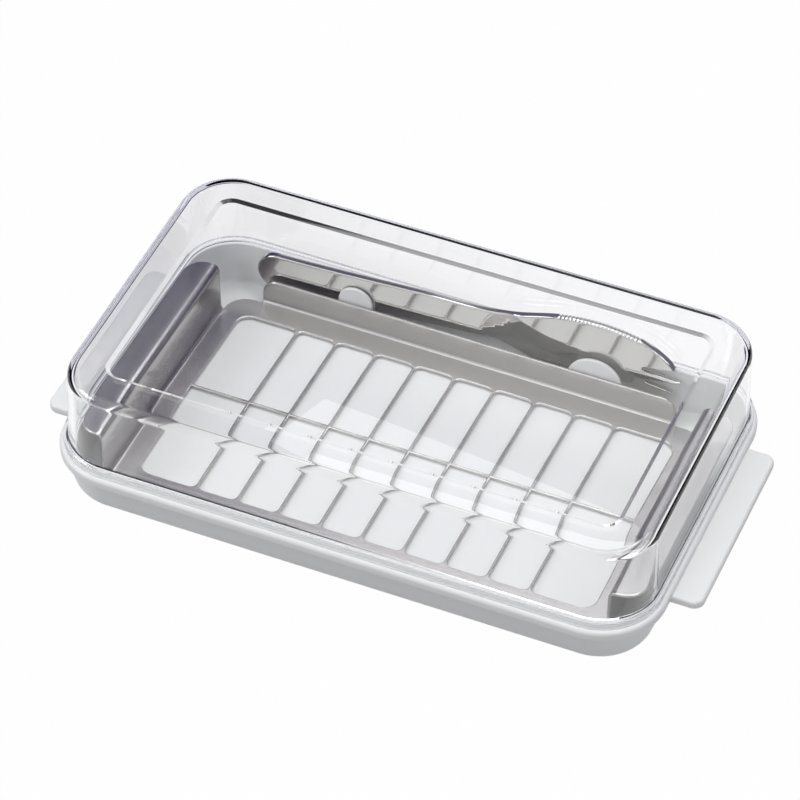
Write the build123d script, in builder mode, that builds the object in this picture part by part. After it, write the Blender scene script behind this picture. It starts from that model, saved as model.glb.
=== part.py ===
from build123d import *

import os
from math import atan2, cos, degrees, radians, sin, tan

# A butter keeper: a tray, a clear lid, a stamped steel cutter with its grid of narrow bars, and a
# butter knife that stands on edge behind the cutter. All sizes are millimetres. X runs along the
# length, Y towards the back and Z up. The origin is the middle of the tray's flat underside, and
# every piece is made where it lies with the box closed.

os.makedirs("parts", exist_ok=True)

# ---- clearances -----------------------------------------------------------------------------
slide_gap = 0.3            # beside a piece that lifts out
seat_gap = 0.2             # under the cutter
near = 0.001               # two places closer than this are the same

# ---- tray -----------------------------------------------------------------------------------
rim_length = 169.0
rim_width = 103.0
rim_corner = 18.0          # plan radius of the rim
rim_height = 14.5          # the ledge that the lid stands on
band_height = 3.0          # the band that runs round under the ledge
band_overhang = 1.3        # the band stands out this far from the side below it
band_chamfer = 0.7
side_draft = 13.8          # degrees, the side leans outwards
base_round = 5.0           # the side turns under with this radius
floor_thickness = 2.0
floor_chamfer = 1.0
ledge_width = 2.9          # bare top of the rim, outside the upstand
upstand_height = 1.9
upstand_thickness = 1.6
upstand_chamfer = 0.4

tab_reach = 8.0            # a tab stands out this far from the rim
tab_width = 59.0
tab_thickness = 2.5
tab_drop = 1.5             # from the ledge down to the tab's top
tab_corner = 3.0
tab_chamfer = 0.6

# ---- lid ------------------------------------------------------------------------------------
overall_height = 40.0
lid_wall = 1.8
lid_draft = 1.75           # degrees, the walls lean inwards
lid_outset = 0.6           # the wall's foot stands this far outside the upstand
lid_top_round = 2.5
lid_inner_chamfer = 1.0
flange_reveal = 1.0        # bare ledge outside the lid's flange
flange_height = 2.7
flange_chamfer = 0.4
panel_depth = 0.6          # the middle of the top is sunk
panel_slope = 1.1          # width of the sloping edge round it
panel_border = 10.7        # from the lid's side to the panel
panel_corner = 5.5

# ---- cutter ---------------------------------------------------------------------------------
sheet = 1.0
sheet_bend = 1.0           # inner radius of a bend
columns = 10
bar_width = 0.8
end_column_extra = 5.4     # the first and last columns are longer by this
cell_corner = 1.8
window_corner = 4.0
front_margin = 7.0         # plate in front of the window
end_margin = 6.2           # plate between the window and an end wall
back_margin = 7.8          # plate between the window and the back flange
plate_corner = 7.0
grip_height = 19.5         # top of the two grip lips
grip_length = 7.9          # from the middle of an end wall to its lip's edge
grip_gap = 1.0             # from a lip's edge to the tray's wall line
grip_corner = 6.0
back_flange_height = 11.0
back_flange_inset = 1.6    # from the plate's round corner to the flange's end
back_flange_corner = 4.5

# ---- butter knife ---------------------------------------------------------------------------
# Its outline is drawn in its own upright plane: along from the tray's middle, and up from the
# lowest point of the blade.
knife_thickness = 2.2
knife_wall_gap = 1.8       # from the knife to the tray's back wall
knife_turn = 0.9           # degrees, the tip lies nearer to the back wall
handle_end = (-58.0, 10.3)
handle_end_r = 6.1
handle_back = (-15.0, 18.0)
handle_heel = (2.65, 8.7)
neck_back = (11.0, 19.3)
serration_start = (24.4, 23.0)
serration_crown = (35.0, 24.2)
serration_stop = (48.0, 22.5)
point_back = (53.5, 20.0)
top_tine = (58.2, 15.9)
middle_tine = (60.2, 11.3)
low_tine = (57.8, 7.1)
point_slope = -1.6         # rise over run of the outline where it reaches the top tine
toe_slope = 0.75           # and where it reaches the low tine
belly_fall = (20.0, 3.7)
belly_low = (37.0, 0.0)
belly_rise = (49.0, 1.3)
gap_top_root = (50.3, 13.2)
gap_top_mouth = (61.0, 13.6)
gap_low_root = (51.0, 9.15)
gap_low_mouth = (61.0, 9.2)
gap_root_r = 0.8
gap_mouth_r = 2.05
blade_thickness = 1.2
hollow_end = (6.7, 13.6)   # centre of the round end of each hollowed face
hollow_end_r = 4.3
hollow_slope = 7.3         # the hollow opens to the knife's full height over this length
tooth_count = 22
tooth_size = 0.5           # each notch is a square that stands on its corner
tooth_turn = 45.0

# ---- knife posts ----------------------------------------------------------------------------
post_thickness = 1.1
post_chamfer = 0.3
handle_post_x = -34.0
handle_post_r = 5.0
handle_post_height = 14.1  # above the tray's floor
blade_post_x = 36.9
blade_post_r = 8.0
blade_post_height = 13.9
saddle_width = 6.0

# ---- worked out from the sizes above --------------------------------------------------------
upstand_x = rim_length / 2 - ledge_width
upstand_y = rim_width / 2 - ledge_width
upstand_corner = rim_corner - ledge_width
cavity_x = upstand_x - upstand_thickness
cavity_y = upstand_y - upstand_thickness
cavity_corner = upstand_corner - upstand_thickness
upstand_top = rim_height + upstand_height

# the knife stands by the back wall, the posts before it and the cutter before them
knife_bottom = floor_thickness + slide_gap
knife_face_y = cavity_y - knife_wall_gap - knife_thickness
post_back_y = knife_face_y - slide_gap
post_face_y = post_back_y - post_thickness

plate_bottom = floor_thickness + seat_gap
sheet_middle = plate_bottom + sheet / 2
bend_radius = sheet_bend + sheet / 2
back_flange_y = post_face_y - slide_gap - sheet / 2
window_y = back_flange_y - sheet / 2 - back_margin
front_edge_y = -window_y - front_margin
cell_depth = window_y - bar_width / 2
lip_edge_x = cavity_x - grip_gap
end_wall_x = lip_edge_x - grip_length
window_x = end_wall_x - sheet / 2 - end_margin
bar_pitch = 2 * (window_x - end_column_extra) / columns


def slab(bottom, half_x, half_y, corner, height, taper=0.0, mode=Mode.ADD):
    """A plate with round corners, from a level upwards, centred on the origin in plan."""
    with BuildSketch(Plane.XY.offset(bottom)) as outline:
        RectangleRounded(2 * half_x, 2 * half_y, corner)
    extrude(outline.sketch, amount=height, taper=taper, mode=mode)


def edges_at(part, level):
    """The edges of a part that lie flat at one level."""
    return part.edges().filter_by_position(Axis.Z, level - near, level + near)


# ---- the tray -------------------------------------------------------------------------------
side_height = rim_height - band_height
side_lean = side_height * tan(radians(side_draft))
base_x = rim_length / 2 - band_overhang - side_lean
base_y = rim_width / 2 - band_overhang - side_lean
base_corner = rim_corner - band_overhang - side_lean
tab_bottom = rim_height - tab_drop - tab_thickness
handle_rise = handle_end[1] - handle_end_r


def handle_underside(x):
    """Height of the knife handle's straight lower edge above the blade's lowest point."""
    along = (x - handle_end[0]) / (handle_heel[0] - handle_end[0])
    return handle_rise + along * (handle_heel[1] - handle_rise)


saddle_top = knife_bottom + handle_underside(handle_post_x - saddle_width / 2) - slide_gap

with BuildPart() as tray:
    slab(side_height, rim_length / 2, rim_width / 2, rim_corner, band_height)
    chamfer(edges_at(tray, side_height) + edges_at(tray, rim_height), band_chamfer)
    slab(0, base_x, base_y, base_corner, side_height, -side_draft)
    fillet(edges_at(tray, 0), base_round)
    slab(tab_bottom, rim_length / 2 + tab_reach, tab_width / 2, tab_corner, tab_thickness)
    tab_edges = tray.edges().filter_by(
        lambda edge: abs(edge.center().X) > rim_length / 2 + near and edge.bounding_box().size.Z < near
    )
    chamfer(tab_edges, tab_chamfer)
    slab(rim_height, upstand_x, upstand_y, upstand_corner, upstand_height)
    slab(floor_thickness, cavity_x, cavity_y, cavity_corner, upstand_top, mode=Mode.SUBTRACT)
    chamfer(edges_at(tray, floor_thickness), floor_chamfer)
    chamfer(edges_at(tray, upstand_top), upstand_chamfer)

    # two upright plates with round heads hold the knife between them and the back wall
    with BuildSketch(Plane.XZ.offset(-post_face_y)):
        for x, radius, height in (
            (handle_post_x, handle_post_r, handle_post_height),
            (blade_post_x, blade_post_r, blade_post_height),
        ):
            with Locations((x, floor_thickness + height - radius)):
                Circle(radius)
            with Locations((x, floor_thickness)):
                Rectangle(2 * radius, height - radius, align=(Align.CENTER, Align.MIN))
        with Locations((0, floor_thickness)):
            Rectangle(rim_length, rim_height, align=(Align.CENTER, Align.MAX), mode=Mode.SUBTRACT)
    extrude(amount=-post_thickness)
    post_edges = tray.faces().filter_by(Axis.Y).filter_by_position(
        Axis.Y, post_face_y - near, post_back_y + near
    ).edges().filter_by_position(Axis.Z, floor_thickness + near, overall_height)
    chamfer(post_edges, post_chamfer)

    # the handle lies in a low saddle that joins its post to the back wall
    with BuildSketch(Plane.XY.offset(floor_thickness)):
        with Locations((handle_post_x, (post_back_y + cavity_y) / 2)):
            Rectangle(saddle_width, cavity_y - post_back_y)
    extrude(amount=saddle_top - floor_thickness)

tray.part.label = "tray"
export_step(tray.part, "parts/tray.step")

# ---- the lid --------------------------------------------------------------------------------
flange_top = rim_height + flange_height
wall_foot_x = upstand_x + lid_outset
wall_foot_y = upstand_y + lid_outset
wall_foot_corner = upstand_corner + lid_outset
skirt_top = upstand_top + slide_gap
skirt_x = upstand_x + slide_gap
skirt_y = upstand_y + slide_gap
skirt_corner = upstand_corner + slide_gap
flange_x = rim_length / 2 - flange_reveal
flange_y = rim_width / 2 - flange_reveal
panel_x = wall_foot_x - panel_border
panel_y = wall_foot_y - panel_border
panel_taper = degrees(atan2(panel_slope, panel_depth))
lid_under = overall_height - lid_wall

with BuildPart() as lid:
    slab(rim_height, flange_x, flange_y, rim_corner - flange_reveal, flange_height)
    chamfer(edges_at(lid, rim_height) + edges_at(lid, flange_top), flange_chamfer)
    slab(flange_top, wall_foot_x, wall_foot_y, wall_foot_corner, overall_height - flange_top, lid_draft)
    fillet(edges_at(lid, overall_height), lid_top_round)
    slab(
        overall_height - panel_depth,
        panel_x - panel_slope,
        panel_y - panel_slope,
        panel_corner - panel_slope,
        panel_depth,
        -panel_taper,
        Mode.SUBTRACT,
    )

    # the hollow follows the outside at the wall's thickness, and its foot passes round the upstand
    slab(rim_height, skirt_x, skirt_y, skirt_corner, skirt_top - rim_height, mode=Mode.SUBTRACT)
    slab(
        skirt_top,
        wall_foot_x - lid_wall,
        wall_foot_y - lid_wall,
        wall_foot_corner - lid_wall,
        lid_under - skirt_top,
        lid_draft,
        Mode.SUBTRACT,
    )
    chamfer(edges_at(lid, lid_under), lid_inner_chamfer)

lid.part.label = "lid"
export_step(lid.part, "parts/lid.step")

# ---- the cutter -----------------------------------------------------------------------------
lip_middle = grip_height - sheet / 2
strip_depth = window_y - front_edge_y        # the end walls stop where the window does
plate_x = end_wall_x + sheet / 2 - bend_radius
plate_back_y = back_flange_y - bend_radius
back_flange_x = plate_x - plate_corner - back_flange_inset

with BuildPart() as slicing_frame:
    # plate, two end walls and the grip lips along their tops, bent from one strip
    with BuildSketch(Plane.XZ.offset(-window_y)):
        with BuildLine():
            FilletPolyline(
                (-lip_edge_x, lip_middle),
                (-end_wall_x, lip_middle),
                (-end_wall_x, sheet_middle),
                (end_wall_x, sheet_middle),
                (end_wall_x, lip_middle),
                (lip_edge_x, lip_middle),
                radius=bend_radius,
            )
        trace(line_width=sheet)
    extrude(amount=strip_depth)
    lip_ends = slicing_frame.edges().filter_by(Axis.Z).filter_by(
        lambda edge: abs(edge.center().X) > lip_edge_x - near
    )
    fillet(lip_ends, grip_corner)

    # the plate goes on behind the end walls, and a shorter flange stands up along its back
    with BuildSketch(Plane.XY.offset(plate_bottom)) as plate:
        with Locations((0, front_edge_y)):
            Rectangle(2 * plate_x, plate_back_y - front_edge_y, align=(Align.CENTER, Align.MIN))
        fillet(plate.vertices().group_by(Axis.Y)[-1], plate_corner)
        with Locations((0, front_edge_y)):
            Rectangle(2 * plate_x, strip_depth, align=(Align.CENTER, Align.MIN), mode=Mode.SUBTRACT)
    extrude(amount=sheet)
    with BuildSketch(Plane.YZ.offset(-back_flange_x)):
        with BuildLine():
            FilletPolyline(
                (window_y, sheet_middle),
                (back_flange_y, sheet_middle),
                (back_flange_y, back_flange_height),
                radius=bend_radius,
            )
        trace(line_width=sheet)
    extrude(amount=2 * back_flange_x)
    flange_ends = slicing_frame.edges().filter_by(Axis.Y).filter_by(
        lambda edge: edge.center().Z > back_flange_height - near and abs(edge.center().X) < window_x
    )
    fillet(flange_ends, back_flange_corner)

    # the grid: two rows of cells, whose bars are what is left of the sheet
    with BuildSketch(Plane.XY.offset(plate_bottom)) as cells:
        for row in (-1, 1):
            for column in range(columns):
                left = (column - columns / 2) * bar_pitch + bar_width / 2
                right = (column + 1 - columns / 2) * bar_pitch - bar_width / 2
                if column == 0:
                    left = -window_x
                if column == columns - 1:
                    right = window_x
                with Locations(((left + right) / 2, row * (window_y + bar_width / 2) / 2)):
                    Rectangle(right - left, cell_depth)
        rim_points = cells.vertices().filter_by(lambda point: abs(point.Y) > window_y - near)
        fillet(rim_points.filter_by(lambda point: abs(point.X) < window_x - near), cell_corner)
        end_points = cells.vertices().filter_by(lambda point: abs(point.X) > window_x - near)
        fillet(end_points.filter_by(lambda point: abs(point.Y) > window_y - near), window_corner)
    extrude(amount=sheet, mode=Mode.SUBTRACT)

slicing_frame.part.label = "slicing_frame"
export_step(slicing_frame.part, "parts/slicing_frame.step")

# ---- the butter knife -----------------------------------------------------------------------
turn = radians(knife_turn)
handle_top = (handle_end[0], handle_end[1] + handle_end_r)
handle_foot = (handle_end[0], handle_rise)
knife_plane = Plane(
    origin=(0, knife_face_y - handle_post_x * sin(turn), knife_bottom),
    x_dir=(cos(turn), sin(turn), 0),
    z_dir=(sin(turn), -cos(turn), 0),
)

with BuildPart() as butter_knife:
    # the blank: a round-ended handle, a neck and a deep blade with a blunt forked end
    with BuildSketch(knife_plane):
        with BuildLine():
            serrated_back = ThreePointArc(serration_start, serration_crown, serration_stop)
            Spline(serration_stop, point_back, top_tine, tangents=[serrated_back % 1, (1, point_slope)])
            ThreePointArc(top_tine, middle_tine, low_tine)
            Spline(low_tine, belly_rise, belly_low, tangents=[(-1, -toe_slope), (-1, 0)])
            Spline(belly_low, belly_fall, handle_heel, tangents=[(-1, 0), (-1, 0)])
            Line(handle_heel, handle_foot)
            ThreePointArc(handle_foot, (handle_end[0] - handle_end_r, handle_end[1]), handle_top)
            Spline(
                handle_top,
                handle_back,
                neck_back,
                serration_start,
                tangents=[(1, 0), serrated_back % 0],
            )
        make_face()
    extrude(amount=-knife_thickness)

    # both faces of the blade are hollowed, from a round end in the neck to the tip
    hollow_depth = (knife_thickness - blade_thickness) / 2
    with BuildSketch(knife_plane) as hollow:
        with Locations(hollow_end):
            Circle(hollow_end_r)
        Polygon(
            (hollow_end[0], hollow_end[1] - hollow_end_r),
            (hollow_end[0] + hollow_slope, -hollow_end_r),
            (gap_top_mouth[0], -hollow_end_r),
            (gap_top_mouth[0], serration_crown[1] + hollow_end_r),
            (hollow_end[0] + hollow_slope, serration_crown[1] + hollow_end_r),
            (hollow_end[0], hollow_end[1] + hollow_end_r),
            align=None,
        )
    extrude(amount=-hollow_depth, mode=Mode.SUBTRACT)
    with BuildSketch(knife_plane.offset(-knife_thickness)):
        add(hollow.sketch_local)
    extrude(amount=hollow_depth, mode=Mode.SUBTRACT)

    # two tapered gaps leave three tines, and a row of notches runs along the back
    with BuildSketch(knife_plane):
        for root, mouth in ((gap_top_root, gap_top_mouth), (gap_low_root, gap_low_mouth)):
            with BuildSketch(mode=Mode.PRIVATE) as gap:
                with Locations(root):
                    Circle(gap_root_r)
                with Locations(mouth):
                    Circle(gap_mouth_r)
                make_hull()
            add(gap.sketch)
        for tooth in range(tooth_count):
            with Locations(serrated_back @ ((tooth + 0.5) / tooth_count)):
                Rectangle(tooth_size, tooth_size, rotation=tooth_turn)
    extrude(amount=-knife_thickness, mode=Mode.SUBTRACT)

butter_knife.part.label = "butter_knife"
export_step(butter_knife.part, "parts/butter_knife.step")
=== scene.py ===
"""A clear-lidded butter box with a stamped steel cutter and a butter knife, on a white studio table."""

import bpy
import bmesh
import numpy
from math import asin, atan2, cos, degrees, pi, radians, sin, sqrt, tan
from mathutils import Matrix, Vector
from mathutils.geometry import delaunay_2d_cdt

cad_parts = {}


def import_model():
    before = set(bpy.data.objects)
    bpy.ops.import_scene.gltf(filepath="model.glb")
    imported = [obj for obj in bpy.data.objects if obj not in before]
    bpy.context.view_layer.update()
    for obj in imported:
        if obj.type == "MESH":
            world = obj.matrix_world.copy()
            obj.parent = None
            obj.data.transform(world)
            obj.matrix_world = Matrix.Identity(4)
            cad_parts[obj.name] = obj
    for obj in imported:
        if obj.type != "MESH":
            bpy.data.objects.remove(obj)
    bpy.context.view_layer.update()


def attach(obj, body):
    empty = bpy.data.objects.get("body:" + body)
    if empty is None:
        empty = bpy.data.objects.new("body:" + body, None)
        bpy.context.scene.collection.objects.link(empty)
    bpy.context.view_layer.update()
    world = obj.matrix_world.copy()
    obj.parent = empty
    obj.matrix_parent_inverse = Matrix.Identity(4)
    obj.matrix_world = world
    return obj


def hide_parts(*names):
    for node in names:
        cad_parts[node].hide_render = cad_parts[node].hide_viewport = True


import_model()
MM = 0.001

# ---- the photograph's view ------------------------------------------------------------------
VIEW_TARGET = Vector((0.0, 0.0, 20.0)) * MM
VIEW_DISTANCE = 1106.57 * MM
VIEW_AZIMUTH = 0.385342
VIEW_ELEVATION = 0.764612
VIEW_ROLL = 0.017152
VIEW_SHIFT = Vector((2.70957, -2.94610)) * MM    # the target lies this far from the picture's middle
LENS = 189.002                                   # on a 36 mm sensor


def new_object(name, mesh, body):
    """A new piece of the object from a mesh, riding on a body."""
    piece = bpy.data.objects.new(name, mesh)
    bpy.context.scene.collection.objects.link(piece)
    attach(piece, body)
    return piece


# ---- camera ---------------------------------------------------------------------------------
def place_camera():
    """The camera of the photograph, aimed at the target and shifted sideways."""
    towards = Vector(
        (
            sin(VIEW_AZIMUTH) * cos(VIEW_ELEVATION),
            -cos(VIEW_AZIMUTH) * cos(VIEW_ELEVATION),
            sin(VIEW_ELEVATION),
        )
    )
    level = Vector((cos(VIEW_AZIMUTH), sin(VIEW_AZIMUTH), 0.0))
    upright = towards.cross(level)
    right = cos(VIEW_ROLL) * level + sin(VIEW_ROLL) * upright
    up = -sin(VIEW_ROLL) * level + cos(VIEW_ROLL) * upright
    place = VIEW_TARGET + towards * VIEW_DISTANCE - right * VIEW_SHIFT.x - up * VIEW_SHIFT.y
    data = bpy.data.cameras.new("camera")
    data.lens = LENS
    data.sensor_width = 36.0
    data.clip_start = 0.05
    data.clip_end = 20.0
    camera = bpy.data.objects.new("camera", data)
    turn = Matrix((right, up, towards)).transposed().to_4x4()
    camera.matrix_world = Matrix.Translation(place) @ turn
    bpy.context.scene.collection.objects.link(camera)
    bpy.context.scene.camera = camera


place_camera()


# ---- materials ------------------------------------------------------------------------------
def material(name):
    """A new node material: (material, its nodes, its links, its Principled shader)."""
    made = bpy.data.materials.new(name)
    made.use_nodes = True
    nodes = made.node_tree.nodes
    return made, nodes, made.node_tree.links, nodes["Principled BSDF"]


def bump(nodes, links, shader, scale, strength, distance):
    """Fine relief over a surface, from noise in the piece's own coordinates."""
    place = nodes.new("ShaderNodeTexCoord")
    noise = nodes.new("ShaderNodeTexNoise")
    noise.inputs["Scale"].default_value = scale
    noise.inputs["Detail"].default_value = 4.0
    relief = nodes.new("ShaderNodeBump")
    relief.inputs["Strength"].default_value = strength
    relief.inputs["Distance"].default_value = distance
    links.new(place.outputs["Object"], noise.inputs["Vector"])
    links.new(noise.outputs["Fac"], relief.inputs["Height"])
    links.new(relief.outputs["Normal"], shader.inputs["Normal"])


def tray_plastic():
    """Pale grey satin plastic with a faint moulded grain."""
    made, nodes, links, shader = material("tray_plastic")
    shader.inputs["Base Color"].default_value = (0.76, 0.77, 0.76, 1)
    shader.inputs["Roughness"].default_value = 0.38
    shader.inputs["IOR"].default_value = 1.49
    shader.inputs["Subsurface Weight"].default_value = 0.08
    shader.inputs["Subsurface Radius"].default_value = (0.002, 0.002, 0.002)
    bump(nodes, links, shader, scale=900.0, strength=0.12, distance=0.02 * MM)
    return made


def clear_plastic():
    """Polished clear plastic with a faint lilac cast in its depth, which lets the lamps' light through."""
    made, nodes, links, shader = material("lid_clear")
    shader.inputs["Base Color"].default_value = (0.995, 0.995, 1.0, 1)
    shader.inputs["Roughness"].default_value = 0.0
    shader.inputs["IOR"].default_value = 1.49
    shader.inputs["Transmission Weight"].default_value = 1.0
    clear = nodes.new("ShaderNodeBsdfTransparent")
    clear.inputs["Color"].default_value = (1.0, 1.0, 1.0, 1)
    path = nodes.new("ShaderNodeLightPath")
    either = nodes.new("ShaderNodeMath")
    either.operation = "MAXIMUM"
    mix = nodes.new("ShaderNodeMixShader")
    links.new(path.outputs["Is Shadow Ray"], either.inputs[0])
    links.new(path.outputs["Is Diffuse Ray"], either.inputs[1])
    links.new(either.outputs[0], mix.inputs[0])
    links.new(shader.outputs[0], mix.inputs[1])
    links.new(clear.outputs[0], mix.inputs[2])
    output = nodes["Material Output"]
    links.new(mix.outputs[0], output.inputs["Surface"])
    tint = nodes.new("ShaderNodeVolumeAbsorption")
    tint.inputs["Color"].default_value = (0.0, 0.0, 0.55, 1)
    tint.inputs["Density"].default_value = 5.0
    links.new(tint.outputs[0], output.inputs["Volume"])
    return made


STREAK_SCALE = (40, 1500, 1500)                  # noise cells to the metre: the streaks run along x


def steel(name, colour, roughness, streaks):
    """Polished or satin steel, with faint streaks along it that vary its gloss."""
    made, nodes, links, shader = material(name)
    shader.inputs["Base Color"].default_value = colour
    shader.inputs["Metallic"].default_value = 1.0
    place = nodes.new("ShaderNodeTexCoord")
    mapping = nodes.new("ShaderNodeMapping")
    mapping.inputs["Scale"].default_value = STREAK_SCALE
    noise = nodes.new("ShaderNodeTexNoise")
    noise.inputs["Scale"].default_value = 1.0
    noise.inputs["Detail"].default_value = 2.0
    gloss = nodes.new("ShaderNodeMapRange")
    gloss.inputs["To Min"].default_value = roughness - streaks
    gloss.inputs["To Max"].default_value = roughness + streaks
    links.new(place.outputs["Object"], mapping.inputs["Vector"])
    links.new(mapping.outputs["Vector"], noise.inputs["Vector"])
    links.new(noise.outputs["Fac"], gloss.inputs["Value"])
    links.new(gloss.outputs["Result"], shader.inputs["Roughness"])
    return made


TRAY_PLASTIC = tray_plastic()
CLEAR_PLASTIC = clear_plastic()
CUTTER_STEEL = steel("cutter_steel", (0.57, 0.56, 0.55, 1), 0.22, 0.008)
KNIFE_STEEL = steel("knife_steel", (0.68, 0.67, 0.645, 1), 0.05, 0.006)


# ---- shells made of rounded rings -----------------------------------------------------------
def ring(centre, half, corner, height, steps):
    """Points round a rectangle with round corners."""
    points = []
    inner = Vector((half[0] - corner, half[1] - corner))
    for quarter, (sx, sy) in enumerate(((1, 1), (-1, 1), (-1, -1), (1, -1))):
        for step in range(steps + 1):
            angle = (quarter + step / steps) * pi / 2
            x = centre[0] + sx * inner.x + corner * cos(angle)
            y = centre[1] + sy * inner.y + corner * sin(angle)
            points.append(Vector((x, y, height)))
    return points


def arc(centre, radius, start, stop, steps=8):
    """Points (outset, height) along an arc of a profile, angles in degrees from the outset axis."""
    points = []
    for step in range(steps + 1):
        angle = radians(start + (stop - start) * step / steps)
        points.append((centre[0] + radius * cos(angle), centre[1] + radius * sin(angle)))
    return points


def shell(name, half, corner, profile, centre=(0, 0), steps=24, sharp=35):
    """A closed skin in mm: each (outset, height) of the profile is a ring that much outside a base
    rectangle, and edges sharper than an angle stay crisp."""
    skin = bmesh.new()
    rings = []
    for outset, height in profile:
        around = ring(centre, (half[0] + outset, half[1] + outset), corner + outset, height, steps)
        rings.append([skin.verts.new(point * MM) for point in around])
    for lower, upper in zip(rings, rings[1:]):
        for i in range(len(lower)):
            j = (i + 1) % len(lower)
            skin.faces.new((lower[i], lower[j], upper[j], upper[i]))
    skin.faces.new(reversed(rings[0]))
    skin.faces.new(rings[-1])
    return finished(name, skin, sharp)


def finished(name, skin, sharp):
    """A mesh from a bmesh, smooth but for edges sharper than an angle."""
    bmesh.ops.recalc_face_normals(skin, faces=skin.faces)
    for edge in skin.edges:
        edge.smooth = len(edge.link_faces) == 2 and edge.calc_face_angle() < radians(sharp)
    for face in skin.faces:
        face.smooth = True
    mesh = bpy.data.meshes.new(name)
    skin.to_mesh(mesh)
    skin.free()
    return mesh


# ---- tray -----------------------------------------------------------------------------------
RIM = (84.5, 51.5)                               # half the length and width over the rim
RIM_CORNER = 18.0
RIM_HEIGHT = 14.5
LEDGE = 2.9
UPSTAND = 1.6
TRAY_FLOOR = 2.0


def tray_profile():
    """The tray's section from its underside up the outside and down the inside, from the rim's edge."""
    draft, overhang, band, base_r = radians(13.8), 1.3, 3.0, 5.0
    side = RIM_HEIGHT - band
    foot = -overhang - side * tan(draft)
    base_centre = foot + base_r * (sin(draft) - 1) / cos(draft)
    band_r, under_r, upstand_r, floor_r = 1.0, 0.8, 0.45, 1.0
    top, outer, inner = RIM_HEIGHT + 1.9, -LEDGE, -LEDGE - UPSTAND
    points = arc((base_centre, base_r), base_r, -90, -degrees(draft), 10)
    points += [(-overhang - 0.12, side - 0.5), (-overhang, side - 0.12), (-overhang + 0.12, side)]
    points += arc((-under_r, side + under_r), under_r, -90, 0, 6)
    points += arc((-band_r, RIM_HEIGHT - band_r), band_r, 0, 90, 8)
    points += [(outer + 0.2, RIM_HEIGHT), (outer + 0.06, RIM_HEIGHT + 0.06), (outer, RIM_HEIGHT + 0.2)]
    points += arc((outer - upstand_r, top - upstand_r), upstand_r, 0, 90, 5)
    points += arc((inner + upstand_r, top - upstand_r), upstand_r, 90, 180, 5)
    points += arc((inner - floor_r, TRAY_FLOOR + floor_r), floor_r, 0, -90, 6)
    return points


def make_tray():
    """The tray's shell and its two end tabs."""
    skin = shell("tray_shell", RIM, RIM_CORNER, tray_profile())
    skin.materials.append(TRAY_PLASTIC)
    tray = new_object("tray_shell", skin, "tray")
    inner, outer, half_width, low, high, edge_r, corner = 81.0, 92.5, 29.5, 10.5, 13.0, 0.7, 3.0
    section = arc((-edge_r, low + edge_r), edge_r, -90, 0, 5)
    section += arc((-edge_r, high - edge_r), edge_r, 0, 90, 5)
    for side, end in ((-1, "left"), (1, "right")):
        centre = (side * (inner + outer) / 2, 0)
        mesh = shell(f"tab_{end}", ((outer - inner) / 2, half_width), corner, section, centre, 10)
        mesh.materials.append(TRAY_PLASTIC)
        new_object(f"tab_{end}", mesh, "tray")
    return tray


# ---- the tray's knife posts -----------------------------------------------------------------
POST_FACE = 41.6
POST_THICK = 1.1
POST_ROUND = 0.3
POST_FOOT = TRAY_FLOOR - 0.5                     # posts and saddle start inside the floor
HANDLE_POST_X = -34.0


def make_post(name, x, radius, height):
    """An upright plate with a round head, soft round its rim."""
    centre = Vector((x, 0, TRAY_FLOOR + height - radius))
    outwards = [Vector((cos(angle), 0, sin(angle))) for angle in (pi * (1 - k / 32) for k in range(33))]
    way = [(centre + away * radius, away) for away in outwards]
    way.insert(0, (Vector((x - radius, 0, POST_FOOT)), outwards[0]))
    way.append((Vector((x + radius, 0, POST_FOOT)), outwards[-1]))
    section = arc((-POST_ROUND, POST_ROUND), POST_ROUND, -90, 0, 4)
    section += arc((-POST_ROUND, POST_THICK - POST_ROUND), POST_ROUND, 0, 90, 4)
    skin = bmesh.new()
    rings = []
    for outset, depth in section:
        level = Vector((0, POST_FACE + depth, 0))
        rings.append([skin.verts.new((point + away * outset + level) * MM) for point, away in way])
    for near, far in zip(rings, rings[1:]):
        for i in range(len(near)):
            j = (i + 1) % len(near)
            skin.faces.new((near[i], near[j], far[j], far[i]))
    skin.faces.new(reversed(rings[0]))
    skin.faces.new(rings[-1])
    mesh = finished(name, skin, sharp=35)
    mesh.materials.append(TRAY_PLASTIC)
    new_object(name, mesh, "tray")


def make_posts():
    """Both posts, and the saddle that joins the handle's post to the back wall."""
    make_post("handle_post", HANDLE_POST_X, radius=5.0, height=14.1)
    make_post("blade_post", 36.9, radius=8.0, height=13.9)
    top, back, front, half_width, corner = 7.76, 47.2, POST_FACE + POST_THICK - 0.3, 3.0, 0.4
    section = [(0, POST_FOOT)] + arc((-POST_ROUND, top - POST_ROUND), POST_ROUND, 0, 90, 4)
    half, middle = (half_width, (back - front) / 2), (HANDLE_POST_X, (back + front) / 2)
    mesh = shell("saddle", half, corner, section, middle, 4)
    mesh.materials.append(TRAY_PLASTIC)
    new_object("saddle", mesh, "tray")


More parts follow.
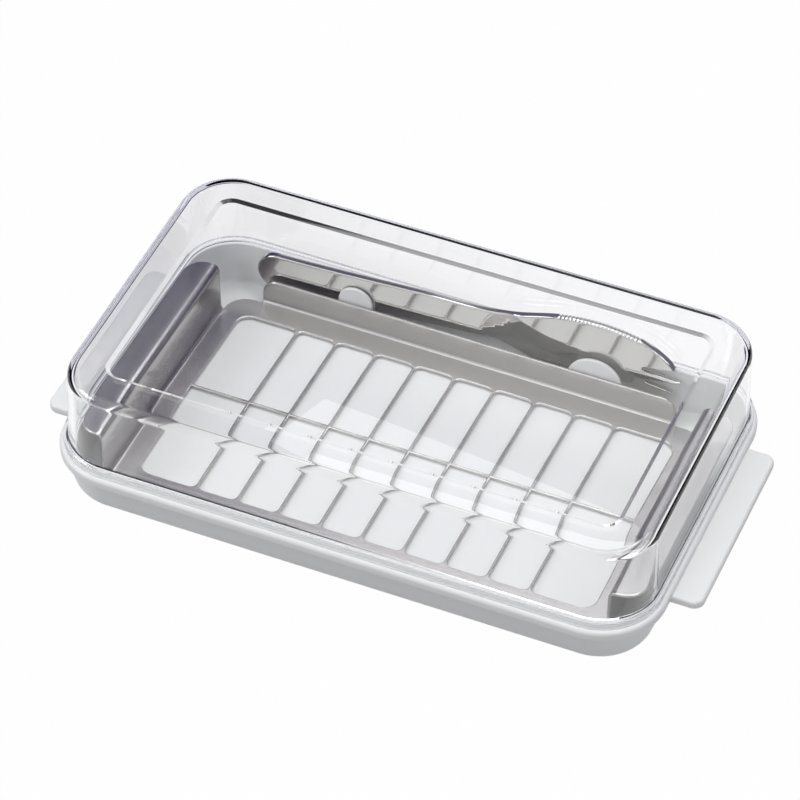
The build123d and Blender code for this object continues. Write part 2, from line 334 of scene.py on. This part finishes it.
# ---- lid ------------------------------------------------------------------------------------
def lid_profile():
    """The lid's section from the middle of its underside round to the middle of its top, from the
    wall's foot."""
    draft, wall, top, under = tan(radians(1.75)), 1.8, 40.0, 38.2
    flange_top, skirt_top, flange, skirt = 17.2, 16.7, 1.3, -0.3
    panel, slope, depth = -10.7, 1.15, 0.55
    inner_r, outer_r, edge_r = 1.2, 2.5, 0.5
    lean = (top - flange_top) * draft
    inner = -wall - (under - skirt_top) * draft
    points = arc((inner - inner_r, under - inner_r), inner_r, 90, 0)
    points += [(-wall, skirt_top), (skirt, skirt_top), (skirt, RIM_HEIGHT + 0.3), (skirt + 0.3, RIM_HEIGHT)]
    points += arc((flange - edge_r, RIM_HEIGHT + edge_r), edge_r, -90, 0, 8)
    points += arc((flange - edge_r, flange_top - edge_r), edge_r, 0, 90, 8)
    points += [(0.5, flange_top), (0.15, flange_top + 0.15), (0.0, flange_top + 0.5)]
    points += arc((-lean - outer_r, top - outer_r), outer_r, 0, 90, 10)
    points += [(panel, top), (panel - slope, top - depth)]
    return points


def make_lid():
    """The lid's whole skin, outside and inside. Its outsets start at the wall's foot."""
    foot = LEDGE - 0.6
    half = (RIM[0] - foot, RIM[1] - foot)
    mesh = shell("lid_shell", half, RIM_CORNER - foot, lid_profile(), steps=32, sharp=15)
    mesh.materials.append(CLEAR_PLASTIC)
    lid = new_object("lid_shell", mesh, "lid")
    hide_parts("lid")


# ---- pieces cut from sheet ------------------------------------------------------------------
BAND_SHARES = (0.1, 0.35, 0.7, 1.0, 1.5)         # rows of points inside a rim, by the rim's rounding
AT_A_TIME = 2000                                 # points measured together


def distance_to(points, starts, stops):
    """How far each point lies from the nearest of some straight runs."""
    runs = stops - starts
    squares = (runs**2).sum(axis=1)
    best = []
    for some in numpy.array_split(points, 1 + len(points) // AT_A_TIME):
        apart = some[:, None] - starts
        share = numpy.clip((apart * runs).sum(axis=2) / squares, 0, 1)
        best.append(numpy.hypot(*(apart - share[..., None] * runs).T).min(axis=0))
    return numpy.concatenate(best)


def inside(points, loops):
    """Whether each point lies within the sheet that closed loops bound, holes left out."""
    held = numpy.zeros(len(points), bool)
    for loop in loops:
        for a, b in zip(loop, numpy.roll(loop, -1, axis=0)):
            crosses = (a[1] > points[:, 1]) != (b[1] > points[:, 1])
            rise = b[1] - a[1] if b[1] != a[1] else 1.0
            held ^= crosses & (points[:, 0] < a[0] + (points[:, 1] - a[1]) / rise * (b[0] - a[0]))
    return held


def rim_distance(points, loops):
    """How far each point lies from the nearest loop."""
    stops = [numpy.roll(loop, -1, axis=0) for loop in loops]
    return distance_to(points, numpy.vstack(loops), numpy.vstack(stops))


def rounding(points, loops, radius):
    """How far the face sinks where it rounds over towards the rim."""
    short = radius - numpy.minimum(rim_distance(points, loops), radius)
    return radius - numpy.sqrt(numpy.maximum(radius**2 - short**2, 0))


def cut_sheet(name, loops, grid, radius, relief, place):
    """A skin over both faces of a sheet. The outer loop runs clockwise and the holes the other way,
    relief(points, side) is how far each point sinks, and place(point, side, sunk) puts it in space."""
    grid = grid[inside(grid, loops)]
    clear = BAND_SHARES[-1] * radius + 0.15
    free = [grid[rim_distance(grid, loops) > clear]]
    inward, following = [], []
    for loop in loops:
        run = numpy.roll(loop, -1, axis=0) - numpy.roll(loop, 1, axis=0)
        inward.append(numpy.column_stack([run[:, 1], -run[:, 0]]) / numpy.hypot(*run.T)[:, None])
        following.append(numpy.roll(numpy.arange(len(loop)), -1) + sum(len(some) for some in following))
    corners, inward, following = numpy.vstack(loops), numpy.vstack(inward), numpy.concatenate(following)
    rims = list(enumerate(following.tolist()))
    edges, count = list(rims), len(corners) + len(free[0])
    for share in BAND_SHARES:
        band = corners + inward * radius * share
        held = rim_distance(band, loops) > 0.9 * radius * share
        number = count + numpy.cumsum(held) - 1
        joined = held & held[following]
        edges += zip(number[joined].tolist(), number[following[joined]].tolist())
        free.append(band[held])
        count += int(held.sum())
    flat = [Vector(point) for point in numpy.vstack([corners] + free)]
    places, _, faces, sources, *_ = delaunay_2d_cdt(flat, edges, [], 0, 1e-5)
    places = numpy.array([tuple(point) for point in places])
    middles = numpy.array([places[list(face)].mean(axis=0) for face in faces])
    kept = [face for face, held in zip(faces, inside(middles, loops)) if held]
    now = {source: i for i, several in enumerate(sources) for source in several}
    skin = bmesh.new()
    used = {i for face in kept for i in face}
    sides = []
    for side in (1, -1):
        sunk = relief(places, side)
        verts = {i: skin.verts.new(place(places[i], side, sunk[i]) * MM) for i in used}
        sides.append(verts)
        for face in kept:
            skin.faces.new([verts[i] for i in face])
    near, far = sides
    for a, b in rims:
        skin.faces.new((near[now[a]], near[now[b]], far[now[b]], far[now[a]]))
    return finished(name, skin, sharp=50)


# ---- butter knife ---------------------------------------------------------------------------
# Its outline lies in its own upright plane: along from the tray's middle, and up from the blade's foot.
KNIFE_TURN = radians(0.9)
KNIFE_ALONG = Vector((cos(KNIFE_TURN), sin(KNIFE_TURN), 0.0))
KNIFE_FACING = Vector((sin(KNIFE_TURN), -cos(KNIFE_TURN), 0.0))
KNIFE_FRONT = Vector((0.0, 43.0 + 34.0 * sin(KNIFE_TURN), 2.3))
KNIFE_THICK = 2.2
HANDLE_END, HANDLE_R = Vector((-58.0, 10.3)), 6.1
HANDLE_BACK, NECK_BACK, HEEL = Vector((-15.0, 18.0)), Vector((11.0, 19.3)), Vector((2.65, 8.7))
SERRATED = (Vector((24.4, 23.0)), Vector((35.0, 24.2)), Vector((48.0, 22.5)))
POINT_BACK = Vector((53.5, 20.0))
TINES = (Vector((58.2, 15.9)), Vector((60.2, 11.3)), Vector((57.8, 7.1)))
TOE, BELLY_LOW, BELLY_FALL = Vector((49.0, 1.3)), Vector((37.0, 0.0)), Vector((20.0, 3.7))
GAPS = ((Vector((50.3, 13.2)), Vector((61.0, 13.6))), (Vector((51.0, 9.15)), Vector((61.0, 9.2))))
GAP_ROOT_R, GAP_MOUTH_R = 0.8, 2.05
TEETH, TOOTH_DEPTH, TOOTH_HALF = 22, 0.35, 0.29   # the last is a share of a tooth's pitch
# The front is scooped: it falls away inside this edge, steeply at first.
SCOOP_NECK = [(2.0, 0.0), (2.5, 11.5), (3.5, 14.5), (5.5, 17.5), (8.0, 19.3), (12.5, 20.8), (14.0, 18.6)]
SCOOP_BLADE = [(21.5, 15.6), (31.3, 14.0), (44.1, 11.1), (62.0, 7.5)]
SCOOP_FALL, SCOOP_EASE, SCOOP_DEEP = 0.3, 0.011, 1.55
EDGE_ROUND, KNIFE_GRID = 0.45, 0.45


def circle_through(a, b, c):
    """Centre and radius of the circle through three points."""
    double = 2 * (a.x * (b.y - c.y) + b.x * (c.y - a.y) + c.x * (a.y - b.y))
    aa, bb, cc = a.length_squared, b.length_squared, c.length_squared
    x = aa * (b.y - c.y) + bb * (c.y - a.y) + cc * (a.y - b.y)
    y = aa * (c.x - b.x) + bb * (a.x - c.x) + cc * (b.x - a.x)
    centre = Vector((x, y)) / double
    return centre, (a - centre).length


def curve(points, start, stop, step=0.8):
    """Points along a smooth curve through some points, with unit tangents given at its ends."""
    slopes = [start]
    for before, here, after in zip(points, points[1:], points[2:]):
        a, b = (here - before).length, (after - here).length
        slopes.append(((here - before) / a * b + (after - here) / b * a) / (a + b))
    slopes.append(stop)
    way = []
    for p, q, m, n in zip(points, points[1:], slopes, slopes[1:]):
        length = (q - p).length
        count = max(2, round(length / step))
        for k in range(count):
            t = k / count
            way.append(
                p * (1 + 2 * t) * (1 - t) ** 2
                + m * length * t * (1 - t) ** 2
                + q * t * t * (3 - 2 * t)
                + n * length * t * t * (t - 1)
            )
    return way


def serrated_back():
    """The saw-toothed stretch of the back, and its unit tangents at both ends."""
    centre, radius = circle_through(*SERRATED)
    start, stop = (atan2(p.y - centre.y, p.x - centre.x) for p in (SERRATED[0], SERRATED[2]))
    way = []
    for tooth in range(TEETH):
        for share, depth in ((0, 0), (0.5 - TOOTH_HALF, 0), (0.5, TOOTH_DEPTH), (0.5 + TOOTH_HALF, 0)):
            angle = start + (stop - start) * (tooth + share) / TEETH
            way.append(centre + Vector((cos(angle), sin(angle))) * (radius - depth))
    way.append(SERRATED[2])
    return way, Vector((sin(start), -cos(start))), Vector((sin(stop), -cos(stop)))


def forked_front():
    """The blunt front from the top tine down to the low one, with its two tapered gaps."""
    centre, radius = circle_through(*TINES)
    way = [TINES[0]]
    for root, mouth in GAPS:
        axis = (mouth - root).normalized()
        lean = asin((GAP_MOUTH_R - GAP_ROOT_R) / (mouth - root).length)
        across = Vector((-axis.y, axis.x))
        sides = []
        for side in (1, -1):
            normal = -sin(lean) * axis + side * cos(lean) * across
            foot = root + normal * GAP_ROOT_R
            along = Vector((normal.y, -normal.x)) * side
            reach = foot - centre
            travel = -reach.dot(along) + sqrt(reach.dot(along) ** 2 + radius**2 - reach.length_squared)
            sides.append((foot, foot + along * travel, normal))
        (top, top_mouth, top_normal), (low, low_mouth, low_normal) = sides
        way += [top_mouth + (top - top_mouth) * k / 8 for k in range(8)]
        turn = top_normal.angle(low_normal)
        for k in range(9):
            angle = atan2(top_normal.y, top_normal.x) + turn * k / 8
            way.append(root + Vector((cos(angle), sin(angle))) * GAP_ROOT_R)
        way += [low + (low_mouth - low) * k / 8 for k in range(1, 9)]
    way.append(TINES[2])
    return way


def knife_outline():
    """The whole outline, clockwise from the start of the serrations."""
    back, back_start, back_stop = serrated_back()
    up, along = Vector((0, HANDLE_R)), Vector((1, 0))
    way = back[:-1] + curve([SERRATED[2], POINT_BACK, TINES[0]], back_stop, Vector((1, -1.6)).normalized())
    way += forked_front()[:-1]
    way += curve([TINES[2], TOE, BELLY_LOW], Vector((-1, -0.75)).normalized(), -along)
    way += curve([BELLY_LOW, BELLY_FALL, HEEL], -along, -along)
    way += [HEEL + (HANDLE_END - up - HEEL) * k / 80 for k in range(80)]
    way += [HANDLE_END + Vector((-sin(a), -cos(a))) * HANDLE_R for a in (pi * k / 32 for k in range(32))]
    way += curve([HANDLE_END + up, HANDLE_BACK, NECK_BACK, SERRATED[0]], along, back_start)
    return numpy.array([tuple(point) for point in way])


def knife_relief(points, side, loop):
    """How deep each point of a face lies below the handle's flat: rounded edge, and scoop in front."""
    rounded = rounding(points, [loop], EDGE_ROUND)
    if side < 0:
        return rounded
    edge = numpy.array(SCOOP_NECK + SCOOP_BLADE)
    scoop = numpy.vstack([edge, [[edge[-1][0], 0.0]]])
    reach = numpy.where(inside(points, [scoop]), distance_to(points, edge[:-1], edge[1:]), 0.0)
    fall = (SCOOP_FALL - SCOOP_EASE * reach) * reach
    return numpy.minimum(fall + rounded, SCOOP_DEEP)


def knife_place(point, side, sunk):
    """Where a point of the outline's plane comes to in space, on the front face (1) or the back (-1)."""
    depth = KNIFE_THICK / 2 - side * (KNIFE_THICK / 2 - sunk)
    return KNIFE_FRONT + KNIFE_ALONG * point[0] + Vector((0, 0, point[1])) - KNIFE_FACING * depth


def grid_over(loop, spacing):
    """A square grid of points over a loop's box."""
    low, high = loop.min(axis=0), loop.max(axis=0)
    across, upward = (numpy.arange(a, b, spacing) for a, b in zip(low, high))
    across, upward = numpy.meshgrid(across, upward)
    return numpy.column_stack([across.ravel(), upward.ravel()])


def make_knife():
    loop = knife_outline()
    mesh = cut_sheet(
        "butter_knife_skin",
        [loop],
        grid_over(loop, KNIFE_GRID),
        EDGE_ROUND,
        lambda points, side: knife_relief(points, side, loop),
        knife_place,
    )
    mesh.materials.append(KNIFE_STEEL)
    knife = new_object("butter_knife_skin", mesh, "knife")
    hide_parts("butter_knife")


# ---- cutter ---------------------------------------------------------------------------------
# It is drawn flat, as the blank that is stamped, and then folded: u runs along it and v towards the back.
SHEET_MIDDLE = 2.7
BEND = 1.5                                       # radius of the sheet's middle
BEND_RUN = BEND * pi / 2
END_WALL, LIP_EDGE, LIP_MIDDLE = 71.1, 79.0, 19.0
WALL_TOP = LIP_MIDDLE - BEND
FRONT_EDGE, WINDOW_X, WINDOW_Y = -39.5, 64.4, 32.5
BACK_FLANGE, BACK_FLANGE_X, BACK_FLANGE_TOP = 40.8, 61.5, 11.0
PLATE_X, PLATE_CORNER, LIP_CORNER, FLANGE_CORNER = 70.1, 6.7, 6.0, 4.5
COLUMNS, PITCH, BAR, CELL_CORNER, WINDOW_CORNER = 10, 11.8, 0.8, 1.8, 4.0
WALL_START = END_WALL - BEND
WALL_STOP = WALL_START + BEND_RUN + WALL_TOP - SHEET_MIDDLE - BEND
LIP_START = WALL_STOP + BEND_RUN
U_END = LIP_START + LIP_EDGE - END_WALL - BEND
FLANGE_START = BACK_FLANGE - BEND
V_END = FLANGE_START + BEND_RUN + BACK_FLANGE_TOP - SHEET_MIDDLE - BEND
SHEET, SHEET_ROUND = 1.0, 0.3
FLAT_US = [66.5, 68.5, 74.0, 79.0, 83.0, 89.0, 91.0]     # rows of points beside the folds
FLAT_VS = [34.0, 36.0, 38.0, 43.5, 46.0]
ROW_STEP = 2.0


def turned(along, across, flat):
    """Where a length along the sheet comes to, as (along, up), if it bends up from a flat part, at a
    height above the sheet's middle."""
    if along <= flat:
        return along, across
    angle = min((along - flat) / BEND, pi / 2)
    past = along - flat - BEND * angle
    return flat + (BEND - across) * sin(angle), BEND - (BEND - across) * cos(angle) + past


def cutter_place(point, side, sunk):
    """Where a point of the blank comes to in space, on the sheet's upper face (1) or the lower (-1)."""
    u, v = point
    across = side * (SHEET / 2 - sunk)
    y, up = turned(v, across, FLANGE_START)
    if abs(u) <= WALL_START:
        return Vector((u, y, SHEET_MIDDLE + up))
    if abs(u) <= WALL_STOP:
        x, up = turned(abs(u), across, WALL_START)
    else:
        angle = min((abs(u) - WALL_STOP) / BEND, pi / 2)
        x = END_WALL + BEND - (BEND + across) * cos(angle) + max(abs(u) - LIP_START, 0)
        up = WALL_TOP - SHEET_MIDDLE + (BEND + across) * sin(angle)
    return Vector((x if u > 0 else -x, v, SHEET_MIDDLE + up))


def cornered(corners, step=4.0):
    """A closed loop through (u, v, radius) corners, clockwise, with points along its straight runs."""
    way = []
    count = len(corners)
    ends = []
    for i in range(count):
        here, before, after = (Vector(corners[k % count][:2]) for k in (i, i - 1, i + 1))
        radius = corners[i][2]
        come, leave = (before - here).normalized(), (after - here).normalized()
        ends.append((here + come * radius, here + leave * radius, here, radius, come, leave))
    for i, (first, last, here, radius, come, leave) in enumerate(ends):
        if radius:
            centre = here + (come + leave) * radius
            for k in range(8):
                angle = pi / 2 * k / 8
                way.append(centre - leave * radius * cos(angle) - come * radius * sin(angle))
        following = ends[(i + 1) % count][0]
        pieces = max(1, round((following - last).length / step))
        way += [last + (following - last) * k / pieces for k in range(pieces)]
    return numpy.array([tuple(point) for point in way])


def blank_outline():
    """The stamped blank: one strip with the end walls and lips, and the plate's back with its flange."""
    right = [
        (U_END, WINDOW_Y, LIP_CORNER),
        (U_END, FRONT_EDGE, LIP_CORNER),
    ]
    back = [
        (-PLATE_X, WINDOW_Y, 0),
        (-PLATE_X, FLANGE_START, PLATE_CORNER),
        (-BACK_FLANGE_X, FLANGE_START, 0),
        (-BACK_FLANGE_X, V_END, FLANGE_CORNER),
        (BACK_FLANGE_X, V_END, FLANGE_CORNER),
        (BACK_FLANGE_X, FLANGE_START, 0),
        (PLATE_X, FLANGE_START, PLATE_CORNER),
        (PLATE_X, WINDOW_Y, 0),
    ]
    left = [(-u, v, radius) for u, v, radius in reversed(right)]
    return cornered(left + back + right, 0.6)


def cell_outline(row, column):
    """One cell of the grid, anticlockwise."""
    left, left_r = (column - COLUMNS / 2) * PITCH + BAR / 2, CELL_CORNER
    right, right_r = (column + 1 - COLUMNS / 2) * PITCH - BAR / 2, CELL_CORNER
    if column == 0:
        left, left_r = -WINDOW_X, WINDOW_CORNER
    if column == COLUMNS - 1:
        right, right_r = WINDOW_X, WINDOW_CORNER
    low = BAR / 2
    corners = [(left, low, 0), (right, low, 0), (right, WINDOW_Y, right_r), (left, WINDOW_Y, left_r)]
    if row < 0:
        corners = [(u, -v, radius) for u, v, radius in reversed(corners)]
    return cornered(corners)


def fold_rows(start):
    """Lengths along the sheet of the rows of points through one fold."""
    return [start + BEND_RUN * k / 8 for k in range(9)]


def make_cutter():
    """The grid's sheet, with rows of points through each fold so that it bends in even steps."""
    cells = [cell_outline(row, column) for row in (-1, 1) for column in range(COLUMNS)]
    loops = [blank_outline()] + cells
    rows = fold_rows(WALL_START) + fold_rows(WALL_STOP) + FLAT_US
    depths = numpy.arange(FRONT_EDGE, WINDOW_Y + 1, ROW_STEP)
    grid = [(side * u, v) for side in (-1, 1) for u in rows for v in depths]
    lengths = numpy.arange(-68.0, 69.0, ROW_STEP)
    grid += [(u, v) for u in lengths for v in fold_rows(FLANGE_START) + FLAT_VS]
    mesh = cut_sheet(
        "cutter_skin",
        loops,
        numpy.array(grid),
        SHEET_ROUND,
        lambda points, side: rounding(points, loops, SHEET_ROUND),
        cutter_place,
    )
    mesh.materials.append(CUTTER_STEEL)
    cutter = new_object("cutter_skin", mesh, "cutter")
    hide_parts("slicing_frame")


tray = make_tray()
make_posts()
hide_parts("tray")
make_lid()
make_knife()
make_cutter()


# ---- studio ---------------------------------------------------------------------------------
def mathematics(nodes, links, operation, *values):
    """A Math node: each value is a number or another node's output."""
    made = nodes.new("ShaderNodeMath")
    made.operation = operation
    for socket, value in zip(made.inputs, values):
        if isinstance(value, (int, float)):
            socket.default_value = value
        else:
            links.new(value, socket)
    return made.outputs[0]


def product(nodes, links, first, *others):
    """The product of some values, each a number or another node's output."""
    for other in others:
        first = mathematics(nodes, links, "MULTIPLY", first, other)
    return first


FLOOR_REACH = 0.32
FLOOR_GLOW = 0.99                                # what is left of 1 shows the object's shadow


def floor():
    """A white table that camera, metal and glass see as white, while it keeps a faint shadow."""
    reach = FLOOR_REACH
    mesh = bpy.data.meshes.new("floor")
    corners = [(-reach, -reach, 0), (reach, -reach, 0), (reach, reach, 0), (-reach, reach, 0)]
    mesh.from_pydata(corners, [], [(0, 1, 2, 3)])
    plane = bpy.data.objects.new("floor", mesh)
    bpy.context.scene.collection.objects.link(plane)
    made, nodes, links, shader = material("floor_white")
    shader.inputs["Base Color"].default_value = (0.4, 0.4, 0.4, 1)
    shader.inputs["Roughness"].default_value = 0.6
    shader.inputs["Specular IOR Level"].default_value = 0.2
    glow = nodes.new("ShaderNodeEmission")
    glow.inputs["Strength"].default_value = 1.0
    path = nodes.new("ShaderNodeLightPath")
    seen = path.outputs["Is Camera Ray"]
    for other in ("Is Glossy Ray", "Is Transmission Ray"):
        seen = mathematics(nodes, links, "MAXIMUM", seen, path.outputs[other])
    share = product(nodes, links, seen, FLOOR_GLOW)
    mix = nodes.new("ShaderNodeMixShader")
    links.new(share, mix.inputs[0])
    links.new(shader.outputs[0], mix.inputs[1])
    links.new(glow.outputs[0], mix.inputs[2])
    links.new(mix.outputs[0], nodes["Material Output"].inputs["Surface"])
    mesh.materials.append(made)


def area_light(name, place, size, power):
    """A white square lamp that faces the origin."""
    data = bpy.data.lights.new(name, "AREA")
    data.shape = "RECTANGLE"
    data.size = data.size_y = size
    data.energy = power
    lamp = bpy.data.objects.new(name, data)
    lamp.location = place
    lamp.rotation_euler = Vector(place).to_track_quat("Z", "Y").to_euler()
    bpy.context.scene.collection.objects.link(lamp)


def smooth_range(nodes, links, value, start, stop):
    """0 to 1, smoothly, while a value goes from start to stop."""
    made = nodes.new("ShaderNodeMapRange")
    made.interpolation_type = "SMOOTHSTEP"
    made.inputs["From Min"].default_value = start
    made.inputs["From Max"].default_value = stop
    links.new(value, made.inputs["Value"])
    return made.outputs["Result"]


def blended(nodes, links, share, first, second):
    """A mix of two colours, each a value or another node's output."""
    mix = nodes.new("ShaderNodeMix")
    mix.data_type = "RGBA"
    links.new(share, mix.inputs[0])
    for socket, colour in ((mix.inputs[6], first), (mix.inputs[7], second)):
        if isinstance(colour, tuple):
            socket.default_value = colour
        else:
            links.new(colour, socket)
    return mix.outputs[2]


ROOM = (0.045, 0.04, 0.1, 1)
WALLS = (0.95, 0.95, 0.95, 1)
FRONT_BOX = (0.95, 0.94, 0.92, 1)
CEILING = (1.0, 1.0, 1.0, 1)


def world():
    """A dark blue room, which draws the clear lid's edges, with bright walls low down in front and
    behind, one bright box high up in front and one behind, and a bright ceiling and underside. The
    limits are parts of the direction that a ray leaves in."""
    space = bpy.data.worlds.new("studio")
    bpy.context.scene.world = space
    space.use_nodes = True
    nodes, links = space.node_tree.nodes, space.node_tree.links
    room = nodes["Background"]
    place = nodes.new("ShaderNodeTexCoord")
    split = nodes.new("ShaderNodeSeparateXYZ")
    links.new(place.outputs["Generated"], split.inputs[0])
    x, y, z = split.outputs
    sideways = mathematics(nodes, links, "ABSOLUTE", x)

    def ramp(value, start, stop):
        return smooth_range(nodes, links, value, start, stop)

    low_walls = product(nodes, links, ramp(z, 0.62, 0.45), ramp(sideways, 0.42, 0.29))
    box_across = product(nodes, links, ramp(x, -0.35, -0.2), ramp(x, -0.03, -0.13))
    back_box = product(nodes, links, box_across, ramp(y, -0.1, 0.1), ramp(z, 0.75, 0.71))
    box_across = product(nodes, links, ramp(x, -0.55, -0.4), ramp(x, 0.2, 0.05))
    front_box = product(nodes, links, box_across, ramp(y, -0.3, -0.5), ramp(z, 0.45, 0.58))
    shade = ROOM
    for share, colour in (
        (low_walls, WALLS),
        (back_box, WALLS),
        (front_box, FRONT_BOX),
        (ramp(z, 0.78, 0.86), CEILING),
        (ramp(z, -0.05, -0.15), WALLS),
    ):
        shade = blended(nodes, links, share, shade, colour)
    links.new(shade, room.inputs["Color"])
    sight = nodes.new("ShaderNodeBackground")
    sight.inputs["Color"].default_value = (1, 1, 1, 1)
    path = nodes.new("ShaderNodeLightPath")
    choice = nodes.new("ShaderNodeMixShader")
    links.new(path.outputs["Is Camera Ray"], choice.inputs[0])
    links.new(room.outputs[0], choice.inputs[1])
    links.new(sight.outputs[0], choice.inputs[2])
    links.new(choice.outputs[0], nodes["World Output"].inputs["Surface"])


floor()
world()
area_light("right_softbox", (0.52, -0.24, 0.42), size=0.3, power=1.0)
area_light("left_softbox", (-0.52, -0.24, 0.42), size=0.3, power=1.7)
area_light("top_softbox", (0.0, 0.3, 0.88), size=0.6, power=2.8)

scene = bpy.context.scene
scene.view_settings.view_transform = "Standard"
scene.cycles.max_bounces = 16
scene.cycles.transmission_bounces = 14
scene.cycles.transparent_max_bounces = 16
